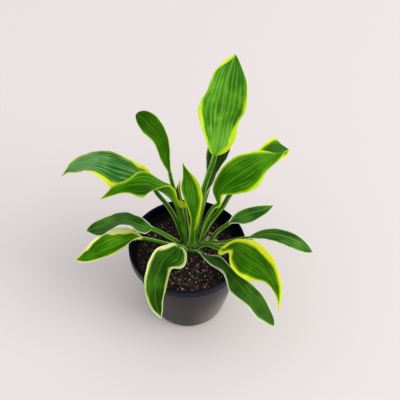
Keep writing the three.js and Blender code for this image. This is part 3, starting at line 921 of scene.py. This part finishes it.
@dataclass
class Leaf:
    """One leaf: stalk and blade in one closed loft. Lengths are in millimetres, angles in degrees.

    The sizes are those of the leaf's CAD node, which this finer loft replaces: the midrib's stations,
    the share of the length where the blade starts, the compass heading at foot and tip, the half widths
    at even steps along the blade, the two exponents that round off its ends, the roll at neck, middle
    and tip, the valley angle at the neck and beyond it, the cup of each half, the margin's wave as
    height, count and phase, the stalk's half width and the share over which the neck opens. Only the
    looks have the widths of the pale margin, also at even steps, and the count of veins in each half.

    The sizes from foot_fold on are alike in all leaves. Those that end in run are shares of the blade
    over which something comes in. Veins start where the half width passes the two of vein_half, and
    stop at vein_edge of it from the margin. The margin's inner border sways by a share of its width.
    """

    name: str
    slot: str
    finish: HostaTissue
    rib: tuple
    neck: float
    turn: tuple[float, float]
    left: tuple[float, ...]
    right: tuple[float, ...]
    swell: tuple[float, float]
    roll: tuple[float, float, float]
    fold: tuple[float, float]
    cup: float
    wave: tuple[float, float, float]
    stalk: float
    margin_left: tuple[float, ...]
    margin_right: tuple[float, ...]
    opening: float = 0.14
    veins: int = 5
    seed: int = 1
    foot_fold: float = 35
    foot_swell: float = 0.2
    tip_half: float = 0.35
    cup_run: float = 0.3
    wave_run: float = 0.15
    margin_thick: float = 0.65
    neck_margin: float = 0.6
    neck_margin_run: float = 0.06
    midrib_thick: float = 0.9
    neck_midrib: float = 2.3
    neck_midrib_run: float = 0.3
    rib_half_width: float = 1.7
    vein_depth: float = 0.12
    vein_length: float = 33.3
    vein_half: tuple[float, float] = (3, 13)
    vein_run: float = 0.06
    vein_edge: float = 0.12
    flutter: float = 0.35
    flutter_length: float = 13.96
    streak_length: float = 26
    streaks_across: float = 8
    rib_band: float = 1.5
    sway: float = 0.35
    sway_length: float = 8.33
    sway_border: float = 2.5
    stalk_rings: int = 26
    blade_rings: int = 96
    across: int = 97

    def shares(self) -> np.ndarray:
        """Shares of the length at which rings stand: even on the stalk, closer at the blade's ends."""
        low = self.neck * np.arange(self.stalk_rings) / self.stalk_rings
        turn = np.pi * np.arange(self.blade_rings + 1) / self.blade_rings
        return np.concatenate([low, self.neck + (1 - self.neck) * (1 - np.cos(turn)) / 2])

    def spread(self) -> np.ndarray:
        """Places across the blade from -1 to 1, closer at the midrib: sign(t) times |t| to the 1.15."""
        t = np.linspace(-1, 1, self.across)
        return np.sign(t) * np.abs(t) ** 1.15

    def axes(self, u: np.ndarray, part: np.ndarray) -> tuple[np.ndarray, np.ndarray, np.ndarray, float]:
        """Set up the section's axes along the midrib.

        Sideways is the level direction to the right of the heading, made square to the midrib. Upwards
        is square to both. Then both turn about the midrib by the roll.

        Args:
            u: shares of the whole length.
            part: shares of the blade.

        Returns:
            Places on the midrib, unit vectors sideways and upwards, and the midrib's length.
        """
        centre, tangent, length = midrib(self.rib, u)
        heading = np.radians(self.turn[0] + (self.turn[1] - self.turn[0]) * u)
        side = np.stack([np.sin(heading), -np.cos(heading), 0 * heading], axis=1)
        side -= np.sum(side * tangent, axis=1, keepdims=True) * tangent
        side /= np.linalg.norm(side, axis=1, keepdims=True)
        up = np.cross(side, tangent)
        roll = np.radians(through(part, self.roll))[:, None]
        turned_side = side * np.cos(roll) + up * np.sin(roll)
        return centre, turned_side, up * np.cos(roll) - side * np.sin(roll), length

    def half_width(self, u: np.ndarray, part: np.ndarray, hand: np.ndarray) -> np.ndarray:
        """Work out the half width: the hypotenuse of the stalk's and the blade's.

        The blade's is the run of half widths times part^a * (1 - part)^b, scaled to 1 at its highest.
        The stalk's is wider at the foot and dies out along the blade.

        Args:
            u: shares of the whole length.
            part: shares of the blade.
            hand: -1 on the left of the midrib and 1 on the right.

        Returns:
            The half width at each ring and place across.
        """
        near, far = self.swell
        widest = near / (near + far)
        outline = (part / widest) ** near * ((1 - part) / (1 - widest)) ** far
        climb = np.clip(u / self.neck, 0, 1)
        slim = self.stalk * (1 + self.foot_swell * (1 - climb)) * (1 - part) ** 0.6 + self.tip_half * part
        wide = np.where(hand < 0, (ease(part, self.left) * outline)[:, None],
                        (ease(part, self.right) * outline)[:, None])
        return np.hypot(wide, slim[:, None])

    def texture(self, u: np.ndarray, part: np.ndarray, v: np.ndarray, half: np.ndarray,
                length: float) -> tuple[np.ndarray, dict[str, np.ndarray]]:
        """Work out the veins and flutter, and the numbers that the leaf's material reads.

        The veins are furrows: cosine dips at even steps across, faded out at margin, neck and tip, each
        of its own depth. The flutter is a fine wave that grows towards the margin.

        Args:
            u: shares of the whole length.
            part: shares of the blade.
            v: places across, from -1 to 1.
            half: the half width at each ring and place across.
            length: the midrib's length.

        Returns:
            How far the skin is pushed down, and named grids of numbers.
        """
        out, hand = np.abs(v)[None, :], np.sign(v)[None, :]
        run = length * u[:, None]
        narrow, full = self.vein_half
        broad = np.clip((half - narrow) / (full - narrow), 0, 1)
        broad = broad * np.clip(part / self.vein_run, 0, 1)[:, None]
        lane = self.veins * out ** 0.9
        comb = 0.5 + 0.5 * np.cos(2 * np.pi * lane)

        def noise(*places: np.ndarray | float) -> np.ndarray:
            """Value noise of cell length 1 at places that may be given as a row, a column or a number."""
            return value_noise(np.stack(np.broadcast_arrays(*places), axis=-1), 1.0, self.seed)

        of_lane, of_vein = (1 + 0.6 * noise(run / self.vein_length, step + 20 * hand, 3.3 * self.seed)
                            for step in (np.floor(lane), np.round(lane)))
        furrow = comb ** 4 * np.clip((1 - out) / self.vein_edge, 0, 1) * broad * of_vein
        # Painted highlight on the ridges between the veins, and painted shade over the veins where it is
        # low.
        ridge_highlight = np.where(out < 1, (1 - comb) ** 2.2, 0.5) * broad * of_lane
        turn = 2 * np.pi / self.flutter_length * run
        flutter = self.flutter * broad * out ** 3 * np.sin(turn + 5 * hand + self.seed)

        edge = half * (1 - out)
        sway = 1 + self.sway * noise(run / self.sway_length, hand * 9.0, np.full_like(half, self.seed * 5.3))
        border = sway * np.where(hand < 0, ease(part, self.margin_left)[:, None],
                                 ease(part, self.margin_right)[:, None])
        ones = np.ones_like(half)
        numbers = {
            "part": np.where(u < self.neck, -0.1, part)[:, None] * ones,
            "along": ones * (length * (u - self.neck) / self.streak_length)[:, None],
            "vein_run": v[None, :] * self.streaks_across * ones + self.seed * 3.7,
            "edge": edge,
            "border": edge - border,
            "reach": np.clip(border / self.sway_border, 0, 1),
            "ridge_highlight": ridge_highlight,
            "rib": np.exp(-(half * out / self.rib_band) ** 2),
        }
        return self.vein_depth * furrow - flutter, numbers

    def surfaces(self) -> tuple[np.ndarray, np.ndarray, dict[str, np.ndarray]]:
        """Work out both faces of the leaf and the numbers that its material reads.

        At each share u of the length, the section is an arc on each side of the midrib. It starts at
        the fold angle and turns by the cup angle to the margin, so that across is
        half * (sin(fold + cup v) - sin(fold)) / cup and the rise is
        half * (cos(fold) - cos(fold + cup v)) / cup. The margin's wave adds height * v^2 * sin. The
        underside lies one thickness below, along the section's normal.

        Returns:
            The upper and lower face as grids of places in millimetres, and named grids of numbers.
        """
        u, v = self.shares(), self.spread()
        out, hand = np.abs(v)[None, :], np.sign(v)[None, :]
        part = np.clip((u - self.neck) / (1 - self.neck), 0, 1)
        centre, side, up, length = self.axes(u, part)
        half = self.half_width(u, part, hand)
        dip, numbers = self.texture(u, part, v, half, length)

        neck_fold = self.foot_fold + (self.fold[0] - self.foot_fold) * np.clip(u / self.neck, 0, 1)
        fold = np.radians(self.fold[1] + (neck_fold - self.fold[1]) * np.exp(-part / self.opening))[:, None]
        cup = np.radians(self.cup) * np.clip(part / self.cup_run, 0, 1)[:, None]
        cup = np.where(cup == 0, 1e-4, cup)
        angle = fold + cup * out
        height, count, phase = self.wave
        fade = np.clip(part / self.wave_run, 0, 1) * np.clip((1 - part) / self.wave_run, 0, 1)
        turning = 2 * np.pi * count * part[:, None] + np.radians(phase) + np.where(hand > 0, 0.6 * np.pi, 0)
        waving = (height * fade)[:, None] * out ** 2 * np.sin(turning)
        sideways = hand * half * (np.sin(angle) - np.sin(fold)) / cup
        rise = half * (np.cos(fold) - np.cos(angle)) / cup + waving
        tilt = angle * hand

        margin_thick = self.margin_thick + self.neck_margin * np.exp(-part / self.neck_margin_run)[:, None]
        rib_thick = self.midrib_thick + self.neck_midrib * np.exp(-part / self.neck_midrib_run)[:, None]
        near_rib = np.exp(-(half * out / self.rib_half_width) ** 2)
        thick = margin_thick + (rib_thick - margin_thick) * near_rib

        def lay(offset: np.ndarray) -> np.ndarray:
            """Places at an offset along the section's normal."""
            x = sideways - offset * np.sin(tilt)
            y = rise + offset * np.cos(tilt)
            return centre[:, None] + side[:, None] * x[..., None] + up[:, None] * y[..., None]

        return lay(-dip), lay(-dip - thick), numbers

    def build(self) -> bpy.types.Object:
        """Close both faces into one skin, with narrow strips along the margins and caps at the ends.

        Returns:
            The leaf's object.
        """
        upper, lower, numbers = self.surfaces()
        rows, columns = upper.shape[:2]
        points = np.concatenate([upper.reshape(-1, 3), lower.reshape(-1, 3)]) * MM
        top = np.arange(rows * columns).reshape(rows, columns)
        low = top + rows * columns
        faces = [
            np.stack([top[:-1, :-1], top[:-1, 1:], top[1:, 1:], top[1:, :-1]], axis=-1),
            np.stack([low[:-1, 1:], low[:-1, :-1], low[1:, :-1], low[1:, 1:]], axis=-1),
            np.stack([top[:-1, -1], low[:-1, -1], low[1:, -1], top[1:, -1]], axis=-1),
            np.stack([low[:-1, 0], top[:-1, 0], top[1:, 0], low[1:, 0]], axis=-1),
            np.stack([low[0, :-1], low[0, 1:], top[0, 1:], top[0, :-1]], axis=-1),
            np.stack([top[-1, :-1], top[-1, 1:], low[-1, 1:], low[-1, :-1]], axis=-1),
        ]
        quads = np.concatenate([f.reshape(-1, 4) for f in faces])
        skin = 2 * (rows - 1) * (columns - 1)
        flat = np.arange(len(quads)) >= skin
        values = {key: np.concatenate([grid.ravel(), grid.ravel()]) for key, grid in numbers.items()}
        values["upper"] = np.repeat([1.0, 0.0], rows * columns)
        thing = fill_mesh(f"{self.name}_blade", points, quads, flat, values)
        dress(thing, self.finish.material(self.name), self.slot)
        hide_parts(self.name)
        return thing


@dataclass
class Lamp:
    """Square soft light that faces the plant. Lengths in metres, power in watts, colour in linear light."""

    name: str
    place: tuple[float, float, float]
    size: float
    power: float
    colour: tuple[float, float, float]
    aim: tuple[float, float, float] = (0.0, 0.0, 0.12)

    def build(self) -> None:
        """Hang the lamp and turn it to its aim, by its tilt from straight down and its bearing."""
        light = bpy.data.lights.new(self.name, "AREA")
        light.size = self.size
        light.energy = self.power
        light.color = self.colour
        thing = bpy.data.objects.new(self.name, light)
        thing.location = self.place
        x, y, z = np.array(self.aim) - np.array(self.place)
        tilt = math.atan2(math.hypot(x, y), -z)
        thing.rotation_euler = (tilt, 0, math.atan2(y, x) - math.pi / 2)
        bpy.context.scene.collection.objects.link(thing)


@dataclass
class Studio:
    """Pale floor, soft light and the camera at the photograph's angle. Lengths in millimetres."""

    slope: float = 49.0
    distance: float = 1000.0
    target: tuple[float, float, float] = (16.0, 88.0, 105.0)
    focal_px: float = 731.0
    frame_px: float = 400.0
    sensor: float = 36.0
    floor_half: float = 40_000.0
    plaster: str = "#e6ddda"
    sky: str = "#eef0f4"
    sky_strength: float = 0.92

    def camera(self) -> None:
        """Place the camera: it looks along +Y and down by the slope, at the target."""
        eye = bpy.data.cameras.new("camera")
        eye.sensor_width = self.sensor
        eye.lens = self.focal_px / self.frame_px * self.sensor
        thing = bpy.data.objects.new("camera", eye)
        slope = math.radians(self.slope)
        x, y, z = self.target
        thing.location = (x * MM, (y - self.distance * math.cos(slope)) * MM,
                          (z + self.distance * math.sin(slope)) * MM)
        thing.rotation_euler = (math.pi / 2 - slope, 0, 0)
        bpy.context.scene.collection.objects.link(thing)
        bpy.context.scene.camera = thing

    def floor(self) -> None:
        """Lay a plain floor of trowelled plaster, pale and matt, so that it takes soft shadows."""
        corners = np.array([[-1, -1, 0], [1, -1, 0], [1, 1, 0], [-1, 1, 0]])
        floor = fill_mesh("floor", corners * self.floor_half * MM, np.array([[0, 1, 2, 3]]))
        surface = Surface("plaster, trowelled, pale")
        finish = {"Base Color": self.plaster, "Roughness": 0.75, "IOR": 1.45}
        floor.data.materials.append(surface.close(finish))

    def lights(self) -> None:
        """Hang two large soft lamps on the right, high and low, under a pale sky that fills the shade."""
        Lamp("key", (3.9, -2.25, 5.4), 5.4, 121.5, (1.0, 0.985, 0.96)).build()
        Lamp("wall", (5.1, -1.5, 2.4), 3.6, 135.0, (1.0, 0.985, 0.97)).build()
        world = bpy.data.worlds.new("sky")
        world.use_nodes = True
        sky = world.node_tree.nodes["Background"]
        sky.inputs["Color"].default_value = linear(self.sky)
        sky.inputs["Strength"].default_value = self.sky_strength
        bpy.context.scene.world = world
        bpy.context.scene.view_settings.view_transform = "Standard"


# The greens and margins of the sixteen leaves, from the freshest to the most shaded
FRESH_LIME = HostaTissue(Green.FRESH, Margin.LIME, sheen="#dceccc", streaks=0.48, border=1.2)
BLUISH_YELLOW = HostaTissue(Green.BLUISH, Margin.YELLOW, sheen="#d4e4d4", streaks=0.95)
LUSH_LIME = HostaTissue(Green.LUSH, Margin.LIME, border=2.6)
# Painted light: its margin takes the paler lit lemon.
LUSH_LIT_LEMON = HostaTissue(Green.LUSH, Margin.LIT_LEMON, streaks=0.9)
MID_LIME = HostaTissue(Green.MID, Margin.LIME, border=2.6)
MID_CREAM = HostaTissue(Green.MID, Margin.CREAM)
MID_YELLOW = HostaTissue(Green.MID, Margin.YELLOW, border=2.2, streaks=0.7)
DEEP_WHITE = HostaTissue(Green.DEEP, Margin.WHITE, gloss=0.5, sheen="#c0d8a8")
# Partly painted shade: the darkest green, on leaves that lie under others.
DUSKY_WHITE = HostaTissue(Green.DUSKY, Margin.WHITE, gloss=0.5, sheen="#b0cc98", streaks=0.8)
DUSKY_CREAM = HostaTissue(Green.DUSKY, Margin.CREAM, streaks=0.7)
DUSKY_YELLOW = HostaTissue(Green.DUSKY, Margin.YELLOW)


def hosta_leaves() -> list[Leaf]:
    """List the plant's leaves, with the sizes of their CAD nodes.

    Returns:
        The sixteen leaves.
    """
    return [
        Leaf(
            "leaf_tall", "leaf_inner", FRESH_LIME, seed=1,
            rib=((8, 17, 104), (12, 34, 138), (22, 50, 178), (35, 64, 221), (39, 77, 252), (43, 87, 278),
                 (48, 101, 305), (57, 118, 329)),
            neck=0.5, turn=(62, 75), left=(30, 26, 29, 33, 27, 29, 21), right=(37, 32, 25, 28, 28, 30, 22),
            swell=(0.7, 0.7), roll=(-35, -32, -28), fold=(28, 12), cup=8,
            wave=(2.4, 1.5, 12), stalk=3.2,
            margin_left=(2, 2.5, 3.5, 5.5, 5, 0.8, 1, 4.5, 5),
            margin_right=(5, 8, 6.5, 2.5, 4.5, 2.5, 0.7, 0.5, 0.5)),
        Leaf(
            "leaf_back_left", "leaf_outer", MID_CREAM, veins=4, seed=2,
            rib=((1, 22.5, 104), (-10, 44, 140), (-20, 64, 168), (-23, 71, 181), (-26, 77, 195),
                 (-30, 85, 210), (-37, 94, 222), (-49, 106, 231), (-64, 120, 235)),
            neck=0.5, turn=(115, 125), left=(18, 14, 10, 14, 13), right=(11, 10, 13, 15, 17),
            swell=(1, 0.55), roll=(25, 28, 15), fold=(42, 15), cup=12,
            wave=(2, 1.5, 64), stalk=2.3,
            margin_left=(0.5, 0.5, 0.4, 0.4, 0.4), margin_right=(0.4, 0.4, 0.4, 0.4, 0.4)),
        Leaf(
            "leaf_left_high", "leaf_inner", BLUISH_YELLOW, seed=3,
            rib=((-5, 19, 104), (-15, 32, 131), (-25, 41, 147), (-40, 50, 165), (-47, 60, 175),
                 (-66, 68, 185), (-94, 74, 191), (-117, 79, 189), (-140, 82, 179), (-165, 79, 163)),
            neck=0.42, turn=(150, 172), left=(34, 38, 37, 28, 24, 19, 13),
            right=(28, 14, 12, 17, 25, 22, 15), swell=(0.65, 0.8), roll=(55, 5, -14), fold=(28, 12),
            cup=0, wave=(3.8, 2, 76), stalk=2.5,
            margin_left=(2, 3, 6, 8, 5.5, 1.2, 0.6, 0.5, 0.5),
            margin_right=(5, 5.5, 2, 0.5, 0.5, 0.5, 0.9, 0.6, 0.5)),
        Leaf(
            "leaf_left_mid", "leaf_inner", LUSH_LIME, veins=4, seed=4,
            rib=((-2.5, 12.5, 104), (-8, 24, 135), (-13, 31, 157), (-20, 35, 171), (-34, 39, 181),
                 (-53, 42, 187), (-74, 38, 189), (-108, 29, 174)),
            neck=0.34, turn=(150, 185), left=(5, 10, 29, 26, 15, 11, 7), right=(16, 22, 19, 19, 8, 19, 22),
            swell=(0.75, 1.3), roll=(-80, 2, 64), fold=(75, 12), opening=0.25, cup=-5,
            wave=(3.8, 1.5, -20), stalk=2.8,
            margin_left=(1.5, 1.5, 1, 1.5, 3, 1, 0.6, 0.5, 0.5),
            margin_right=(1, 0.8, 0.5, 0.5, 1.5, 2, 1.5, 0.8, 0.5)),
        Leaf(
            "leaf_center", "leaf_inner", MID_LIME, veins=4, seed=5,
            rib=((4, 9, 104), (7, 20, 132), (10, 26, 150), (10, 38, 169), (6, 52, 184), (-6, 69, 198)),
            neck=0.2, turn=(75, 115), left=(14, 11, 15, 20, 18), right=(12, 8, 10, 10, 8),
            swell=(1.3, 1.2), roll=(-26, 11, 55), fold=(28, 25), opening=0.3, cup=8,
            wave=(3.8, 1, -10), stalk=4,
            margin_left=(0.5, 0.6, 0.6, 0.6, 0.6), margin_right=(2, 4.2, 5, 4.8, 1)),
        Leaf(
            "leaf_young", "leaf_inner", DUSKY_YELLOW, veins=3, seed=6,
            rib=((1.5, 16, 104), (-1, 28, 132), (-5, 39, 153), (-8, 42, 159), (-10, 47, 171), (-9, 52, 185)),
            neck=0.55, turn=(95, 105), left=(9, 8, 7, 7, 6), right=(8, 7, 7, 6, 6), swell=(0.6, 1),
            roll=(20, 70, 85), fold=(55, 30), opening=0.3, cup=10, wave=(1, 1, 0), stalk=1.7,
            margin_left=(8, 6, 1, 0.4, 0.4), margin_right=(8, 6, 1, 0.4, 0.4)),
        Leaf(
            "leaf_back_dark", "leaf_outer", DUSKY_WHITE, seed=7,
            rib=((11, 24, 104), (17, 41, 132), (26, 58, 161), (34, 75, 177), (40, 96, 195), (44, 119, 211)),
            neck=0.42, turn=(62, 80), left=(18, 16, 14, 14, 13), right=(12, 12, 17, 17, 18),
            swell=(0.9, 0.65), roll=(40, 20, -28), fold=(50, 12), cup=12,
            wave=(3, 1.5, 100), stalk=2.3,
            margin_left=(0.5, 0.4, 0.4, 0.4, 0.4), margin_right=(0.5, 0.4, 0.4, 0.4, 0.4)),
        Leaf(
            "leaf_right_high", "leaf_inner", LUSH_LIME, seed=8,
            rib=((15, 17.5, 104), (24, 28, 135), (34, 34, 153), (40, 34, 159), (40, 42, 173),
                 (56, 50, 187), (75, 59, 195), (94, 71, 201), (112, 82, 200), (130, 95, 195)),
            neck=0.3, turn=(35, 35), left=(4, 13, 20, 25, 19, 13, 7), right=(4, 10, 20, 26, 22, 23, 22),
            swell=(0.7, 1.2), roll=(26, -45, 30), fold=(28, 12), opening=0.2, cup=-10,
            wave=(3.8, 1.5, 146), stalk=3.3,
            margin_left=(2, 1.5, 1.5, 1.5, 2, 2.5, 3, 2, 1),
            margin_right=(3, 3, 1, 2.5, 5, 3, 0.8, 1.5, 1.5)),
        Leaf(
            "leaf_right_back", "leaf_outer", MID_YELLOW, seed=9,
            rib=((18, 25, 103), (30, 32, 126), (44, 42, 142), (54, 52, 156), (68, 64, 170), (90, 80, 183),
                 (113, 97, 188), (132, 108, 183)),
            neck=0.45, turn=(38, 40), left=(11, 13, 15, 18, 22), right=(18, 15, 12, 13, 15),
            swell=(1.2, 0.6), roll=(7, -42, 17), fold=(42, 12), cup=8,
            wave=(3.6, 1.5, 16), stalk=3,
            margin_left=(2, 2, 2.5, 3, 3, 0.5), margin_right=(2, 2, 3, 4, 4, 3)),
        Leaf(
            "leaf_right_small", "leaf_outer", DEEP_WHITE, veins=4, seed=10,
            rib=((26, 16, 97), (38, 23, 116), (50, 26, 127), (65, 31, 137), (83, 35, 141), (97, 40, 141),
                 (112, 50, 139)),
            neck=0.4, turn=(25, 25), left=(11, 9, 8, 8, 8), right=(15, 16, 13, 11, 12),
            swell=(1.1, 1.15), roll=(-9, -20, 5), fold=(38, 12), cup=9,
            wave=(1, 1.5, 24), stalk=2.3,
            margin_left=(1.4, 1, 0.5, 0.5, 0.4), margin_right=(1, 0.9, 0.9, 0.8, 0.4)),
        Leaf(
            "leaf_right_low", "leaf_outer", DEEP_WHITE, veins=4, seed=11,
            rib=((15.5, 10, 104), (26, 6, 116), (44, -1, 124), (66, -4, 136), (78, -6, 141), (97, -5, 147),
                 (118, -5, 145), (139, -6, 135), (159, -10, 117)),
            neck=0.45, turn=(-12, -3), left=(12, 9, 7, 7, 10), right=(12, 12, 13, 16, 20),
            swell=(0.75, 0.85), roll=(7, -31, -35), fold=(42, 15), cup=5,
            wave=(2, 1.5, 154), stalk=2.5,
            margin_left=(0.8, 0.7, 0.6, 0.6, 0.5), margin_right=(1, 0.8, 0.8, 0.8, 0.6)),
        Leaf(
            "leaf_front_right", "leaf_inner", MID_YELLOW, seed=12,
            rib=((11.5, 4.5, 104), (24, -4, 125), (43, -20, 137), (56, -28, 148), (70, -44, 151),
                 (88, -56, 147), (101, -64, 135), (110, -75, 117), (112, -85, 97)),
            neck=0.28, turn=(-35, -50), left=(5, 15, 24, 24, 19, 22, 17), right=(24, 8, 21, 24, 13, 8, 5),
            swell=(0.55, 1.3), roll=(-24, -30, -34), fold=(28, 10), cup=6,
            wave=(3.8, 1.5, 200), stalk=2.6,
            margin_left=(6, 6, 6.5, 7, 6, 4, 4, 4, 3),
            margin_right=(11, 6, 3.4, 4.8, 4.6, 2, 0.6, 0.6, 0.6)),
        Leaf(
            "leaf_front_low", "leaf_outer", DUSKY_WHITE, seed=13,
            rib=((5, 1, 104), (13, -6, 115), (24, -20, 121), (39, -34, 127), (52, -52, 129), (68, -67, 121),
                 (84, -80, 107), (97, -87, 89), (108, -91, 71)),
            neck=0.12, turn=(-50, -35), left=(3, 8, 7, 10, 15, 17, 23), right=(12, 14, 6, 16, 12, 16, 20),
            swell=(0.7, 0.85), roll=(26, -37, -30), fold=(28, 10), opening=0.25, cup=-8,
            wave=(3.8, 1.5, -70), stalk=2.5,
            margin_left=(0.5, 0.5, 0.6, 0.6, 0.6, 0.6, 0.6), margin_right=(1, 1, 2, 2, 1.8, 1.6, 1.4)),
        Leaf(
            "leaf_front_left", "leaf_inner", DUSKY_CREAM, seed=14,
            rib=((-1, 3, 104), (-7, -4, 121), (-15, -18, 133), (-30, -43, 141), (-36, -64, 133),
                 (-38, -79, 113), (-32, -89, 87)),
            neck=0.22, turn=(-120, -90), left=(28, 29, 15, 13, 17, 21, 27),
            right=(19, 13, 18, 18, 17, 18, 19), swell=(0.55, 1.05), roll=(23, 33, -8), fold=(50, 8),
            cup=3, wave=(3.6, 1.5, 187), stalk=2.4,
            margin_left=(4.5, 4.8, 4, 2.6, 1.7, 1.4, 1.2, 1.1, 1),
            margin_right=(4, 4.5, 4.5, 3.6, 2.4, 1.8, 1.5, 1.2, 1)),
        Leaf(
            "leaf_left_low_back", "leaf_outer", DEEP_WHITE, seed=15,
            rib=((-9.5, 13, 104), (-17, 10, 116), (-33, 10, 131), (-45, 11, 139), (-57, 10, 145),
                 (-78, 13, 153), (-99, 10, 149), (-128, 8, 137)),
            neck=0.36, turn=(180, 182), left=(31, 26, 23, 23, 13), right=(20, 16, 18, 12, 17),
            swell=(0.95, 0.9), roll=(34, -21, 55), fold=(28, 12), cup=0,
            wave=(1.6, 1.5, 272), stalk=2.3,
            margin_left=(0.6, 0.6, 0.5, 0.5, 0.5), margin_right=(0.7, 0.7, 0.7, 0.6, 0.5)),
        Leaf(
            "leaf_left_low_front", "leaf_outer", LUSH_LIT_LEMON, seed=16,
            rib=((-7, 6, 104), (-18, 4, 114), (-37, 3, 123), (-48, 3, 127), (-62, 2, 131), (-82, -8, 132),
                 (-103, -15, 128), (-122, -19, 120), (-143, -20, 113)),
            neck=0.38, turn=(178, 195), left=(8, 9, 10, 11, 17), right=(25, 24, 22, 19, 17),
            swell=(0.9, 1.1), roll=(-50, 44, 20), fold=(60, 12), cup=5,
            wave=(3.8, 1.5, 300), stalk=2.3,
            margin_left=(1.5, 2.5, 2, 1.2, 0.8), margin_right=(2, 5, 8, 7, 4, 3, 2.5, 1.5, 1)),
    ]


def main() -> None:
    """Build the studio and the plant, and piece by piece."""
    logging.basicConfig(level=logging.INFO, format="%(message)s")
    studio = Studio()
    studio.camera()
    studio.floor()
    studio.lights()
    pot = Pot()
    made = [pot.build()]
    made += Soil(pot).build()
    leaves = hosta_leaves()
    feet = np.array([leaf.rib[0] for leaf in leaves], float)
    made.append(Crown(feet).build())
    made += [leaf.build() for leaf in leaves]
    for thing in made:
        LOG.info("%s: %d faces", thing.name, len(thing.data.polygons))


if __name__ == "__main__":
    main()
